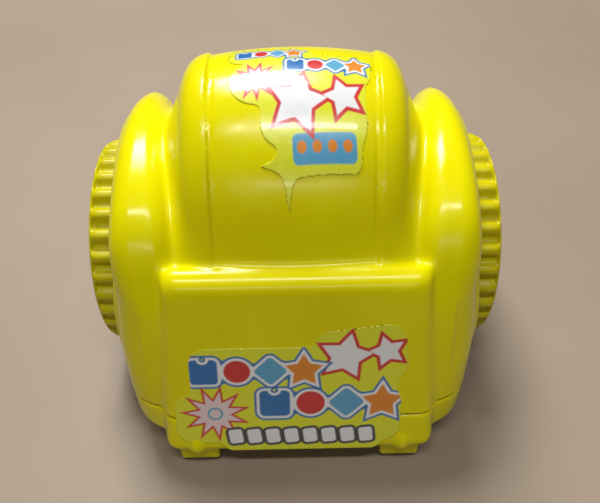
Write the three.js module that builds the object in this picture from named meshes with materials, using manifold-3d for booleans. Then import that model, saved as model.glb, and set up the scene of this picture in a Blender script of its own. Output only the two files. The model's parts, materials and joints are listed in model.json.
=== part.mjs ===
// Pull back toy car: a moulded shell and chassis round a wind-up gear motor.
// Millimetres, +Z up, +Y towards the nose, X = 0 on the centre plane.
import * as THREE from 'three';
import { mergeVertices } from 'three/addons/utils/BufferGeometryUtils.js';
import Module from 'manifold-3d';

const wasm = await Module();
wasm.setup();

// ---------- driving dimensions ----------
const bodyLength = 68;          // tail corner to nose
const wheelRadius = 17;         // drive wheel
const wheelWidth = 8;
const wheelInner = 23.2;        // inner face of the drive wheel
const ribCount = 32;
const ribDepth = 0.9;
const axleY = 0.8;
const axleRadius = 1.5;
const frontRadius = 7.5;        // front wheel
const frontWidth = 5;
const frontInner = 20;          // inner face of the front wheel
const frontAxleRadius = 1;
const wheelGap = 1.5;           // between the treads of a front wheel and a drive wheel
const frontY = axleY + Math.sqrt((wheelRadius + frontRadius + wheelGap) ** 2 - (wheelRadius - frontRadius) ** 2);

const wall = 1.6;               // moulded wall of the shell and the chassis
const seamHeight = wheelRadius - 6.2;   // parting line between the shell and the chassis
const floorHeight = 4.2;        // underside of the chassis
const fit = 0.3;                // gap between pieces that rest on each other
const pressGap = 0.06;          // radial gap of a pin in its hole
const wellGap = 0.9;            // between a wheel and the chassis wall beside it
const treadGap = 1.5;           // between a tread and the wheel well round it

const flankHalf = 25.7;         // outer face of the fenders
const sideHalf = 24.6;          // lower body, half width
const waist = wheelRadius + 8.7;        // height of the lower body
const archCentre = [-1.7, wheelRadius - 1.8];  // y, z that the fender arches are drawn round
const archRadius = wheelRadius + 10;    // crest of the fender arches
const fenderEdge = 3.3;         // rounding of the arch edges
const saddleDepth = 2.8;        // valley between the fenders, below their crests
const archOpening = wheelRadius + 3.4;  // radius of the wheel opening in the fender
const cabinCentre = [-0.7, wheelRadius - 1.8]; // y, z of the roof ellipse
const cabinHalfLength = bodyLength * 0.3515;    // roof ellipse, along the car
const cabinHeight = 36.4;       // roof ellipse, upwards
const roofHalf = 14.2;          // half width of the roof at its shoulders
const roofCrown = 1.0;          // how far the roof falls from the middle to the strip edge
const tailLean = 0.34;          // the tail panel leans forward by this much per mm of height
const tailTop = 2 * wheelRadius - 1.6;  // top of the tail ledge
const tailHalf = 18.3;          // half width of the tail panel at its top
const ledgeDepth = 3.2;         // the ledge across the top of the tail panel, along the car

const module_ = 0.5;            // gear module
const faceWidth = 2;            // thickness of a gear wheel
const pinRadius = 0.8;          // gear pins
const bearingGap = 0.2;         // radial running clearance
const housingHalf = 8.6;        // outer half width of the motor housing
const housingWall = 1.2;
const screwRadius = 1.1;
const headRadius = 2.1;

// ---------- colours ----------
const lemon = 0xcdc913;
const steel = 0xb9bcc0;
const whiteNylon = 0xe9e7df;
const paper = 0xd9cf1a;

// ---------- solids ----------
const solid = (geometry) => {
  const plain = geometry.clone();
  plain.deleteAttribute('normal');
  plain.deleteAttribute('uv');
  const joined = mergeVertices(plain, 1e-4);
  const points = new Float32Array(joined.attributes.position.array);
  const index = new Uint32Array(joined.index.array);
  return new wasm.Manifold(new wasm.Mesh({ numProp: 3, vertProperties: points, triVerts: index }));
};

const geometryOf = (body) => {
  const data = body.getMesh();
  const geometry = new THREE.BufferGeometry();
  geometry.setAttribute('position', new THREE.BufferAttribute(new Float32Array(data.vertProperties), 3));
  geometry.setIndex(new THREE.BufferAttribute(new Uint32Array(data.triVerts), 1));
  return geometry;
};

const join = (first, ...rest) => rest.reduce((sum, next) => sum.add(next), first);
const cut = (first, ...rest) => rest.reduce((left, next) => left.subtract(next), first);

// A cylinder along X from x0 to x1 round (y, z).
const rod = (radius, x0, x1, y = 0, z = 0, segments = 24) => {
  const shape = new THREE.CylinderGeometry(radius, radius, x1 - x0, segments);
  shape.rotateZ(Math.PI / 2);
  shape.translate((x0 + x1) / 2, y, z);
  return solid(shape);
};

// A cylinder along Z from z0 to z1 at (x, y), with an optional different top radius.
const post = (radius, x, y, z0, z1, segments = 20, topRadius = radius) => {
  const shape = new THREE.CylinderGeometry(topRadius, radius, z1 - z0, segments);
  shape.rotateX(Math.PI / 2);
  shape.translate(x, y, (z0 + z1) / 2);
  return solid(shape);
};

const block = (x0, x1, y0, y1, z0, z1) => {
  const shape = new THREE.BoxGeometry(x1 - x0, y1 - y0, z1 - z0);
  shape.translate((x0 + x1) / 2, (y0 + y1) / 2, (z0 + z1) / 2);
  return solid(shape);
};

// An outline in the YZ plane, given as points [y, z], made into a slab from x0 to x1.
const slab = (outline, x0, x1) => {
  const shape = new THREE.Shape(outline.map(([y, z]) => new THREE.Vector2(y, z)));
  const geometry = new THREE.ExtrudeGeometry(shape, { depth: x1 - x0, bevelEnabled: false });
  geometry.applyMatrix4(new THREE.Matrix4().set(0, 0, 1, x0, 1, 0, 0, 0, 0, 1, 0, 0, 0, 0, 0, 1));
  return solid(geometry);
};

// ---------- the moulded form, as a signed field ----------
const smoothMin = (a, b, k) => {
  const h = Math.max(k - Math.abs(a - b), 0) / k;
  return Math.min(a, b) - h * h * k / 4;
};
const smoothMax = (a, b, k) => -smoothMin(-a, -b, k);
const clamp = (value, low, high) => Math.min(Math.max(value, low), high);
const ease = (low, high, value) => {
  const t = clamp((value - low) / (high - low), 0, 1);
  return t * t * (3 - 2 * t);
};

const tailLength = Math.hypot(1, tailLean);
const tailPanel = (y, z) => (tailLean * (z - floorHeight) - (y + bodyLength / 2)) / tailLength;

// Distance from the line the fender arches are drawn round, stretched a little along the car.
const archReach = (y, z) => {
  const along = y - archCentre[0];
  return Math.hypot(along / (along < 0 ? 1.05 : 1.08), z - archCentre[1]);
};

// Bulging arch over each drive wheel: a thick rounded disc, drawn in a little towards the tail.
const fender = (x, y, z) => {
  const along = y - archCentre[0];
  const inner = flankHalf - 7 + 0.1 * clamp(along, -archRadius, archRadius);
  const outer = flankHalf - 3.4 * ease(17, 31, Math.abs(along));
  const across = Math.abs(Math.abs(x) - (inner + outer) / 2) - (outer - inner) / 2 + fenderEdge;
  const up = archReach(y, z) - archRadius + fenderEdge;
  return Math.hypot(Math.max(across, 0), Math.max(up, 0)) + Math.min(Math.max(across, up), 0) - fenderEdge;
};

// Saddle: fills the space between the fenders to just below their crests.
const saddle = (x, y, z) =>
  Math.max(archReach(y, z) - archRadius + saddleDepth, Math.abs(x) - flankHalf + 4);

// Lower body: a plan outline between an oval and a box, with a sloping rounded top.
const lowerBody = (x, y, z) => {
  const power = 5;
  const reach = (Math.abs(x) / sideHalf) ** power + (2 * Math.abs(y) / bodyLength) ** power;
  const plan = (reach ** (1 / power) - 1) * sideHalf;
  const top = waist - 0.1 * clamp(-y, 0, 40) - 0.16 * clamp(y - 14, 0, 40);
  return smoothMax(plan, z - top, 9);
};

// Tail box: the flat leaning panel, its side walls and the narrow ledge across the top.
const tailTopY = -bodyLength / 2 + tailLean * (tailTop - floorHeight);
const tailBox = (x, y, z) => {
  const side = Math.abs(x) - tailHalf - 0.075 * (tailTop - z);
  const top = z - tailTop - 0.1 * (y - tailTopY);
  const front = y - tailTopY - ledgeDepth - 0.3 * clamp(tailTop - z, 0, 30);
  return smoothMax(smoothMax(smoothMax(side, top, 1.8), tailPanel(y, z), 2.2), front, 1.4);
};

// Cabin: one elliptical arch from the tail over the roof to the hood, with sloping flanks.
const cabin = (x, y, z) => {
  const u = (y - cabinCentre[0]) / cabinHalfLength;
  const v = (z - cabinCentre[1]) / cabinHeight;
  const reach = Math.hypot(u, v);
  const slope = Math.hypot(u / cabinHalfLength, v / cabinHeight) / Math.max(reach, 1e-6);
  const arch = (reach - 1) / Math.max(slope, 1e-6);
  const wide = Math.abs(x);
  const crowned = arch + roofCrown * (Math.min(wide, 16) / 12) ** 2;
  const flank = (wide - roofHalf - 0.42 * clamp(-arch, 0, 12)) * 0.92;
  return smoothMax(crowned, flank, 2.6);
};

const bodyForm = (x, y, z) => {
  const hull = smoothMin(lowerBody(x, y, z), fender(x, y, z), 6);
  const behind = smoothMax(hull, tailPanel(y, z) + 1.3, 5);
  const top = smoothMin(cabin(x, y, z), saddle(x, y, z), 3);
  return smoothMin(smoothMin(behind, tailBox(x, y, z), 1.2), Math.max(top, tailPanel(y, z) + 2), 1);
};

// The closed skin of field < 0 inside a box: one vertex for each grid cell that the
// surface crosses, pulled onto the surface, and one quad for each crossed grid edge.
const skin = (field, low, high, cell) => {
  const count = low.map((value, k) => Math.ceil((high[k] - value) / cell) + 1);
  const at = (i, j, k) => (i * count[1] + j) * count[2] + k;
  const values = new Float64Array(count[0] * count[1] * count[2]);
  for (let i = 0; i < count[0]; i++) {
    for (let j = 0; j < count[1]; j++) {
      for (let k = 0; k < count[2]; k++) {
        values[at(i, j, k)] = field(low[0] + i * cell, low[1] + j * cell, low[2] + k * cell);
      }
    }
  }
  const corners = [0, 1, 2, 3, 4, 5, 6, 7].map((n) => [n >> 2, (n >> 1) & 1, n & 1]);
  const vertexOf = new Map();
  const points = [];
  const addVertex = (i, j, k) => {
    let crossings = 0;
    const sum = [0, 0, 0];
    for (const a of corners) {
      for (let axis = 0; axis < 3; axis++) {
        if (a[axis] === 1) continue;
        const b = a.map((value, n) => (n === axis ? 1 : value));
        const va = values[at(i + a[0], j + a[1], k + a[2])];
        const vb = values[at(i + b[0], j + b[1], k + b[2])];
        if ((va < 0) === (vb < 0)) continue;
        crossings += 1;
        a.forEach((value, n) => { sum[n] += value + (n === axis ? va / (va - vb) : 0); });
      }
    }
    if (crossings === 0) return;
    let p = sum.map((value, n) => low[n] + cell * ([i, j, k][n] + value / crossings));
    for (let step = 0; step < 4; step++) {
      const d = field(...p);
      const slope = [0, 1, 2].map((n) => {
        const ahead = p.map((value, m) => value + (m === n ? 0.05 : 0));
        const back = p.map((value, m) => value - (m === n ? 0.05 : 0));
        return (field(...ahead) - field(...back)) / 0.1;
      });
      const length2 = slope.reduce((total, value) => total + value * value, 1e-9);
      const move = clamp(d / length2, -cell / 3, cell / 3);
      p = p.map((value, n) => value - move * slope[n]);
    }
    vertexOf.set(at(i, j, k), points.length / 3);
    points.push(...p);
  };
  for (let i = 0; i + 1 < count[0]; i++) {
    for (let j = 0; j + 1 < count[1]; j++) {
      for (let k = 0; k + 1 < count[2]; k++) addVertex(i, j, k);
    }
  }
  const index = [];
  const steps = [[1, 0, 0], [0, 1, 0], [0, 0, 1]];
  const addQuad = (i, j, k, axis) => {
    const [di, dj, dk] = steps[axis];
    const inside = values[at(i, j, k)] < 0;
    if (inside === (values[at(i + di, j + dj, k + dk)] < 0)) return;
    const [e, f] = [steps[(axis + 1) % 3], steps[(axis + 2) % 3]];
    const ring = [[1, 1], [0, 1], [0, 0], [1, 0]].map(([m, n]) => vertexOf.get(
      at(i - m * e[0] - n * f[0], j - m * e[1] - n * f[1], k - m * e[2] - n * f[2])));
    if (!inside) ring.reverse();
    index.push(ring[0], ring[1], ring[2], ring[0], ring[2], ring[3]);
  };
  for (let i = 1; i + 1 < count[0]; i++) {
    for (let j = 1; j + 1 < count[1]; j++) {
      for (let k = 1; k + 1 < count[2]; k++) {
        for (let axis = 0; axis < 3; axis++) addQuad(i, j, k, axis);
      }
    }
  }
  const geometry = new THREE.BufferGeometry();
  geometry.setAttribute('position', new THREE.Float32BufferAttribute(points, 3));
  geometry.setIndex(index);
  return solid(geometry);
};

const cell = 3.5;
const roofTop = cabinCentre[1] + cabinHeight;
const boxLow = [-flankHalf - 5.5, -bodyLength / 2 - 5.3, -6.1];
const boxHigh = [flankHalf + 5.5, bodyLength / 2 + 5.3, roofTop + 5];
const chassisForm = (x, y, z) => smoothMax(bodyForm(x, y, z) + 0.1, floorHeight - z, 2.4);
const closedForm = (x, y, z) => Math.max(bodyForm(x, y, z), -z);
const cavityForm = (x, y, z) => Math.max(bodyForm(x, y, z) + wall, -z);
const outerBody = skin(closedForm, boxLow, boxHigh, cell);
const innerBody = skin(cavityForm, boxLow, boxHigh, cell);
const outerChassis = skin(chassisForm, boxLow, boxHigh, cell);

// ---------- gears ----------
// One gear outline: involute flanks above the base circle, straight to the root below it.
const gearOutline = (teeth, phase, thin) => {
  const pitch = teeth * module_ / 2;
  const pressure = THREE.MathUtils.degToRad(20);
  const base = pitch * Math.cos(pressure);
  const tip = pitch + 0.85 * module_;
  const root = pitch - 1.2 * module_;
  const involute = (r) => {
    const t = Math.sqrt(Math.max((r / base) ** 2 - 1, 0));
    return t - Math.atan(t);
  };
  const half = Math.PI / teeth / 2 - thin / pitch / 2;
  const halfAt = (r) => half + involute(pitch) - involute(r);
  const radii = [root, pitch, tip];
  const outline = [];
  for (let tooth = 0; tooth < teeth; tooth++) {
    const centre = phase + 2 * Math.PI * tooth / teeth;
    for (const r of radii) outline.push([centre - halfAt(r), r]);
    for (const r of [...radii].reverse()) outline.push([centre + halfAt(r), r]);
  }
  return outline.map(([angle, r]) => [r * Math.cos(angle), r * Math.sin(angle)]);
};
const backlash = 0.16;
const gear = (teeth, phase, x0, x1) => slab(gearOutline(teeth, phase, backlash), x0, x1);

// Phase of a second gear whose gap faces a tooth of the first across their centre line.
const meshedPhase = (teethA, phaseA, teethB, direction) => {
  const shift = (direction - phaseA) * teethA / (2 * Math.PI);
  return direction + Math.PI + (shift + 0.5) * 2 * Math.PI / teethB;
};
const axlePinionTeeth = 12;
const wheelTeeth = 28;
const pinionTeeth = 10;
const springTeeth = 36;
const centreGap = (a, b) => (a + b) * module_ / 2;
const stepFrom = ([y, z], distance, degrees) => {
  const angle = THREE.MathUtils.degToRad(degrees);
  return [y + distance * Math.cos(angle), z + distance * Math.sin(angle)];
};
const turns = { second: 40, first: 140, spring: 205 };   // direction of each next gear, degrees
const axleAt = [axleY, wheelRadius];
const secondAt = stepFrom(axleAt, centreGap(axlePinionTeeth, wheelTeeth), turns.second);
const firstAt = stepFrom(secondAt, centreGap(pinionTeeth, wheelTeeth), turns.first);
const springAt = stepFrom(firstAt, centreGap(pinionTeeth, springTeeth), turns.spring);
const radians = (degrees) => THREE.MathUtils.degToRad(degrees);
const secondPhase = meshedPhase(axlePinionTeeth, 0, wheelTeeth, radians(turns.second));
const firstPhase = meshedPhase(pinionTeeth, 0, wheelTeeth, radians(turns.first));
const springPhase = meshedPhase(pinionTeeth, 0, springTeeth, radians(turns.spring));

// Three layers of gears across the motor, and the spring beside the last one.
const layer = faceWidth + 1;
const outerLayer = 3.2;
const middleLayer = outerLayer - layer;
const innerLayer = middleLayer - layer;
const innerSide = housingHalf - housingWall;

const axlePinion = () => cut(
  gear(axlePinionTeeth, 0, outerLayer - 0.4, outerLayer + faceWidth + 0.4),
  rod(axleRadius + pressGap, -housingHalf, housingHalf));
const compound = (phase, x) => cut(
  join(gear(wheelTeeth, phase, x, x + faceWidth),
    gear(pinionTeeth, 0, x - layer, x + 0.1)),
  rod(pinRadius + bearingGap, -20, 20, 0, 0, 12));
const arborRadius = 1.6;
const springGear = () => cut(
  gear(springTeeth, springPhase, innerLayer, innerLayer + faceWidth),
  rod(arborRadius + pressGap, -20, 20));
const springArbor = () => join(
  rod(arborRadius, -innerSide + fit, innerLayer + faceWidth + 0.6),
  rod(pinRadius, -housingHalf + 0.2, housingHalf - 0.2, 0, 0, 12));

// Flat spiral strip, wound from the arbor to the wall of its barrel.
const mainspring = () => {
  const coils = 5;
  const start = arborRadius + 0.5;
  const end = springTeeth * module_ / 2 - 1.2;
  const steps = coils * 12;
  const strip = 0.3;
  const path = Array.from({ length: steps + 1 }, (_, n) => {
    const radius = start + (end - start) * n / steps;
    return [radius, 2 * Math.PI * coils * n / steps];
  });
  const side = (offset) => path.map(([r, a]) => [(r + offset) * Math.cos(a), (r + offset) * Math.sin(a)]);
  return slab([...side(strip / 2), ...side(-strip / 2).reverse()], -innerSide + 0.5, innerLayer - 0.6);
};

// ---------- motor housing ----------
// The outline is the belt round a circle at each shaft.
const beltOutline = (circles) => {
  const points = [];
  for (const [[y, z], radius] of circles) {
    for (let n = 0; n < 28; n++) {
      const angle = 2 * Math.PI * n / 28;
      points.push([y + radius * Math.cos(angle), z + radius * Math.sin(angle)]);
    }
  }
  points.sort((p, q) => p[0] - q[0] || p[1] - q[1]);
  const turn = (o, a, b) => (a[0] - o[0]) * (b[1] - o[1]) - (a[1] - o[1]) * (b[0] - o[0]);
  const half = (list) => {
    const kept = [];
    for (const p of list) {
      while (kept.length > 1 && turn(kept.at(-2), kept.at(-1), p) <= 1e-3) kept.pop();
      kept.push(p);
    }
    return kept.slice(0, -1);
  };
  return [...half(points), ...half([...points].reverse())];
};
const gearRoom = 0.9;
const tipOf = (teeth) => teeth * module_ / 2 + module_;
const housingCircles = (extra) => [
  [axleAt, tipOf(axlePinionTeeth) + gearRoom + extra],
  [secondAt, tipOf(wheelTeeth) + gearRoom + extra],
  [firstAt, tipOf(wheelTeeth) + gearRoom + extra],
  [springAt, tipOf(springTeeth) + gearRoom + extra],
];
const earRadius = 3;
const earReach = 15.5;           // from the axle to each mounting screw
const earSpots = [axleY + earReach, axleY - earReach];
const earBase = wheelRadius - 7.8;
const earTop = wheelRadius - 5;
const housingSplit = 0;
const housing = (side) => {
  const [x0, x1] = side > 0 ? [housingSplit + fit / 2, housingHalf] : [-housingHalf, housingSplit - fit / 2];
  const inside = side > 0 ? [x0 - 1, x1 - housingWall] : [x0 + housingWall, x1 + 1];
  const ears = earSpots.map((y) => block(x0, x1, Math.min(y, axleY), Math.max(y, axleY), earBase, earTop));
  const cups = earSpots.map((y) => post(earRadius, side * housingHalf / 2, y, earBase, earTop));
  const outside = join(slab(beltOutline(housingCircles(housingWall)), x0, x1), ...ears, ...cups);
  const hollow = slab(beltOutline(housingCircles(0)), ...inside);
  const shaft = (radius, at) => rod(radius, side > 0 ? 1 : -20, side > 0 ? 20 : -1, at[0], at[1], 16);
  return cut(outside, hollow,
    shaft(axleRadius + bearingGap, axleAt),
    shaft(pinRadius + pressGap, secondAt),
    shaft(pinRadius + pressGap, firstAt),
    shaft(pinRadius + bearingGap, springAt),
    ...earSpots.map((y) => post(screwRadius + 0.15, side * housingHalf / 2, y, earBase - 4, earTop + 8, 12)));
};

// ---------- body shell ----------
const rearScrewY = -bodyLength / 2 + 9.5;
const noseScrewY = bodyLength / 2 - 3.5;
const screwSpots = [[13, rearScrewY], [-13, rearScrewY], [11, noseScrewY], [-11, noseScrewY]];
const bossRadius = 2.7;

// A cylinder along X, outwards from `inner` on one side of the car.
const outwards = (side, radius, inner, y, z, segments) =>
  rod(radius, Math.min(side * inner, side * 60), Math.max(side * inner, side * 60), y, z, segments);

const bodyShell = () => {
  const above = block(-60, 60, -60, 60, seamHeight + fit / 2, 90);
  const openings = [-1, 1].flatMap((side) => [
    outwards(side, archOpening, frontInner, axleY, wheelRadius, 48),
    outwards(side, frontRadius + treadGap, frontInner - wellGap, frontY, frontRadius, 32),
  ]);
  const hollow = cut(outerBody, innerBody).intersect(above);
  const bosses = screwSpots.map(([x, y]) => post(bossRadius, x, y, seamHeight + fit, 30).intersect(outerBody));
  const pilots = screwSpots.map(([x, y]) => post(screwRadius + pressGap, x, y, 0, seamHeight + 8, 12));
  return cut(join(hollow, ...bosses), ...openings, ...pilots);
};

// ---------- chassis ----------
const lugSpan = 15.4;
const lugHalf = 3;
const lugDrop = 3.2;
const nubRadius = 1.1;
const axlePostHalf = 2.6;
const chassis = () => {
  const below = block(-60, 60, -60, 60, 0, seamHeight - fit / 2);
  const inside = innerBody.intersect(block(-60, 60, -60, 60, floorHeight + wall, 90));
  const tub = cut(outerChassis.intersect(below), inside);
  const wells = [-1, 1].flatMap((side) => [
    outwards(side, wheelRadius + treadGap, wheelInner - wellGap, axleY, wheelRadius, 48),
    outwards(side, frontRadius + treadGap, frontInner - wellGap, frontY, frontRadius, 32),
  ]);
  const bosses = screwSpots.map(([x, y]) => post(bossRadius, x, y, floorHeight + 0.5, seamHeight - fit / 2));
  const bores = screwSpots.map(([x, y]) => post(screwRadius + 0.3, x, y, 0, 20, 12));
  const sinks = screwSpots.map(([x, y]) => post(headRadius + 0.3, x, y, 0, floorHeight + 2.2, 16));
  const pads = earSpots.flatMap((y) => [-1, 1].map((side) =>
    post(bossRadius, side * housingHalf / 2, y, floorHeight + 0.5, earBase - fit)));
  const padBores = earSpots.flatMap((y) => [-1, 1].map((side) =>
    post(screwRadius + pressGap, side * housingHalf / 2, y, floorHeight + 1.2, earTop, 12)));
  const axlePosts = [-1, 1].map((side) => {
    const outer = side * (frontInner - wellGap - 0.6);
    const inner = outer - side * 2.4;
    return block(Math.min(inner, outer), Math.max(inner, outer),
      frontY - axlePostHalf, frontY + axlePostHalf, floorHeight + 0.5, frontRadius + 3.2);
  });
  const lugs = [-1, 1].flatMap((side) => [
    block(side * lugSpan - lugHalf, side * lugSpan + lugHalf, -bodyLength / 2 + 1.4,
      -bodyLength / 2 + 5.4, floorHeight - lugDrop, floorHeight + 1),
    post(nubRadius, side * lugSpan, -bodyLength / 2 + nubRadius, floorHeight + 0.4, floorHeight + 2.6, 10, 0.4),
    block(side * lugSpan - nubRadius, side * lugSpan + nubRadius, -bodyLength / 2 + nubRadius,
      -bodyLength / 2 + 4, floorHeight + 0.4, floorHeight + 1.6),
  ]);
  const whole = join(cut(tub, ...wells), ...bosses, ...pads, ...axlePosts, ...lugs);
  return cut(whole, ...bores, ...sinks, ...padBores,
    rod(frontAxleRadius + bearingGap, -60, 60, frontY, frontRadius, 16));
};

// ---------- wheels and axles ----------
// Drive wheel: a smooth rim at the outer edge, ribs across the tread, a dished outer face.
const ribOutline = () => {
  const points = [];
  for (let rib = 0; rib < ribCount; rib++) {
    const pitch = 2 * Math.PI / ribCount;
    for (const [part, radius] of [[-0.36, wheelRadius - ribDepth], [-0.16, wheelRadius - 0.05],
      [0.16, wheelRadius - 0.05], [0.36, wheelRadius - ribDepth]]) {
      const angle = (rib + part) * pitch;
      points.push([radius * Math.cos(angle), radius * Math.sin(angle)]);
    }
  }
  return points;
};
const lathed = (profile, segments) => {
  const shape = new THREE.LatheGeometry(profile.map(([r, x]) => new THREE.Vector2(r, x)), segments);
  shape.rotateZ(-Math.PI / 2);
  return solid(shape);
};
const hubRadius = 4.2;
const driveWheel = (side) => {
  const outer = wheelWidth;
  const rim = lathed([[0, 0.6], [wheelRadius - 2.4, 0.6], [wheelRadius - 2.4, outer - 1.2],
    [wheelRadius, outer - 0.9], [wheelRadius - 0.5, outer], [wheelRadius - 2.6, outer],
    [wheelRadius - 4, outer - 2], [hubRadius + 1, outer - 2.4], [hubRadius, outer - 0.6], [0, outer - 0.2]],
  ribCount);
  const wheel = cut(join(rim, cut(slab(ribOutline(), 0, outer - 0.6), rod(wheelRadius - 2.6, -1, 20, 0, 0, 40)),
    rod(hubRadius, 0, 2)), rod(axleRadius + pressGap, -1, outer - 1.6));
  return side > 0 ? wheel : wheel.rotate([0, 180, 0]);
};
const frontWheel = (side) => {
  const outer = frontWidth;
  const profile = [[0, 0.3], [frontRadius - 1.8, 0.3], [frontRadius - 0.8, 0], [frontRadius, 0.8],
    [frontRadius, outer - 0.8], [frontRadius - 0.8, outer], [frontRadius - 2.2, outer],
    [frontRadius - 3, outer - 1.2], [2.4, outer - 1.2], [1.8, outer - 0.3], [0, outer - 0.1]];
  const wheel = cut(lathed(profile, 28), rod(frontAxleRadius + pressGap, -1, outer - 1.4, 0, 0, 16));
  return side > 0 ? wheel : wheel.rotate([0, 180, 0]);
};
const spacer = () => cut(rod(axleRadius + 1.2, 0, 4), rod(axleRadius + pressGap, -1, 6));

// ---------- screws ----------
const screw = (length) => cut(
  join(post(headRadius, 0, 0, 0, 1.3, 16), post(screwRadius - 0.05, 0, 0, 1, length, 12, screwRadius - 0.25)),
  block(-1.4, 1.4, -0.25, 0.25, -1, 0.6),
  block(-0.25, 0.25, -1.4, 1.4, -1, 0.6));

// ---------- labels ----------
// Thin sheet over the roof: the surface below each grid point, thickened outwards.
const labelGap = 0.12;
const labelThick = 0.25;
const surfaceHeight = (x, y) => {
  let [low, high] = [floorHeight, roofTop + 5];
  for (let step = 0; step < 40; step++) {
    const middle = (low + high) / 2;
    if (bodyForm(x, y, middle) < 0) low = middle;
    else high = middle;
  }
  return low;
};
const surfaceNormal = (x, y, z) => new THREE.Vector3(
  bodyForm(x + 0.05, y, z) - bodyForm(x - 0.05, y, z),
  bodyForm(x, y + 0.05, z) - bodyForm(x, y - 0.05, z),
  bodyForm(x, y, z + 0.05) - bodyForm(x, y, z - 0.05)).normalize();
const roofLabel = { centreX: 1, halfWide: 9.5, y0: -17.5, y1: 3 };
const sheetOverRoof = () => {
  const [nx, ny] = [8, 12];
  const layers = [labelGap, labelGap + labelThick].map((offset) => {
    const row = [];
    for (let j = 0; j <= ny; j++) {
      for (let i = 0; i <= nx; i++) {
        const v = 2 * j / ny - 1;
        const u = 2 * i / nx - 1;
        const x = roofLabel.centreX + roofLabel.halfWide * u * (1 - 0.12 * v ** 4);
        const y = (roofLabel.y0 + roofLabel.y1) / 2 + (roofLabel.y1 - roofLabel.y0) / 2 * v * (1 - 0.1 * u ** 4);
        const z = surfaceHeight(x, y);
        row.push(new THREE.Vector3(x, y, z).addScaledVector(surfaceNormal(x, y, z), offset));
      }
    }
    return row;
  });
  const points = layers.flat();
  const size = (nx + 1) * (ny + 1);
  const id = (i, j) => j * (nx + 1) + i;
  const index = [];
  for (let j = 0; j < ny; j++) {
    for (let i = 0; i < nx; i++) {
      const [a, b, c, d] = [id(i, j), id(i + 1, j), id(i + 1, j + 1), id(i, j + 1)];
      index.push(a + size, b + size, c + size, a + size, c + size, d + size, a, c, b, a, d, c);
    }
  }
  const edge = (a, b) => index.push(a, b, b + size, a, b + size, a + size);
  for (let i = 0; i < nx; i++) {
    edge(id(i, 0), id(i + 1, 0));
    edge(id(i + 1, ny), id(i, ny));
  }
  for (let j = 0; j < ny; j++) {
    edge(id(nx, j), id(nx, j + 1));
    edge(id(0, j + 1), id(0, j));
  }
  const geometry = new THREE.BufferGeometry().setFromPoints(points);
  geometry.setIndex(index);
  return solid(geometry);
};

// Flat die-cut label on the leaning tail panel, drawn in the panel's own plane.
const tailLabel = { halfWide: 15.6, low: 3.2, high: 25 };
const plateOnTail = () => {
  const { halfWide, low, high } = tailLabel;
  const shape = new THREE.Shape();
  const r = 4;
  shape.moveTo(-halfWide + r, low);
  shape.lineTo(halfWide - r, low);
  shape.quadraticCurveTo(halfWide, low, halfWide, low + r);
  shape.lineTo(halfWide - 0.6, high - r);
  shape.quadraticCurveTo(halfWide - 0.6, high, halfWide - r, high);
  shape.lineTo(2, high - 0.8);
  shape.lineTo(-halfWide + r, high - 3);
  shape.quadraticCurveTo(-halfWide, high - 3, -halfWide, high - 3 - r);
  shape.lineTo(-halfWide, low + r);
  shape.quadraticCurveTo(-halfWide, low, -halfWide + r, low);
  const geometry = new THREE.ExtrudeGeometry(shape, { depth: labelThick, bevelEnabled: false, curveSegments: 6 });
  const lean = Math.atan(tailLean);
  geometry.applyMatrix4(new THREE.Matrix4().makeRotationX(Math.PI / 2 - lean));
  geometry.translate(0, -bodyLength / 2 - labelGap * Math.cos(lean), floorHeight + labelGap * Math.sin(lean));
  return solid(geometry);
};

// ---------- assembly ----------
const group = new THREE.Group();
const add = (name, body, color, roughness, metalness = 0, at = [0, 0, 0]) => {
  const material = new THREE.MeshStandardMaterial({ color, roughness, metalness });
  const mesh = new THREE.Mesh(geometryOf(body), material);
  mesh.name = name;
  mesh.position.set(...at);
  group.add(mesh);
};
const plastic = [lemon, 0.25];
const metal = [steel, 0.3, 1];
const nylon = [whiteNylon, 0.5];

add('body_shell', bodyShell(), ...plastic);
add('chassis', chassis(), ...plastic);
for (const [name, side] of [['left', -1], ['right', 1]]) {
  add(`rear_wheel_${name}`, driveWheel(side), ...plastic, 0, [side * wheelInner, ...axleAt]);
  add(`front_wheel_${name}`, frontWheel(side), ...plastic, 0, [side * frontInner, frontY, frontRadius]);
  add(`motor_housing_${name}`, housing(side), ...nylon);
}
const axleHalf = wheelInner + wheelWidth - 2;
const frontAxleHalf = frontInner + frontWidth - 1.8;
add('rear_axle', rod(axleRadius, -axleHalf, axleHalf), ...metal, [0, ...axleAt]);
add('front_axle', rod(frontAxleRadius, -frontAxleHalf, frontAxleHalf, 0, 0, 16), ...metal,
  [0, frontY, frontRadius]);
add('axle_spacer_left', spacer(), ...nylon, 0, [-housingHalf - fit - 4, ...axleAt]);
add('axle_spacer_right', spacer(), ...nylon, 0, [housingHalf + fit, ...axleAt]);
add('axle_pinion', axlePinion(), ...nylon, 0, [0, ...axleAt]);
add('second_gear', compound(secondPhase, outerLayer), ...nylon, 0, [0, ...secondAt]);
add('first_gear', compound(firstPhase, middleLayer), ...nylon, 0, [0, ...firstAt]);
add('spring_gear', springGear(), ...nylon, 0, [0, ...springAt]);
add('spring_arbor', springArbor(), ...metal, [0, ...springAt]);
add('mainspring', mainspring(), ...metal, [0, ...springAt]);
const pinHalf = housingHalf - 0.2;
add('second_gear_pin', rod(pinRadius, -pinHalf, pinHalf, 0, 0, 12), ...metal, [0, ...secondAt]);
add('first_gear_pin', rod(pinRadius, -pinHalf, pinHalf, 0, 0, 12), ...metal, [0, ...firstAt]);
screwSpots.forEach(([x, y], n) => add(`body_screw_${n + 1}`, screw(seamHeight + 4 - floorHeight),
  ...metal, [x, y, floorHeight + 0.6]));
const motorScrewTop = earTop + fit + 1.3;
const motorScrewTip = Math.max(earBase - 2, floorHeight + 1.6);
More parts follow.
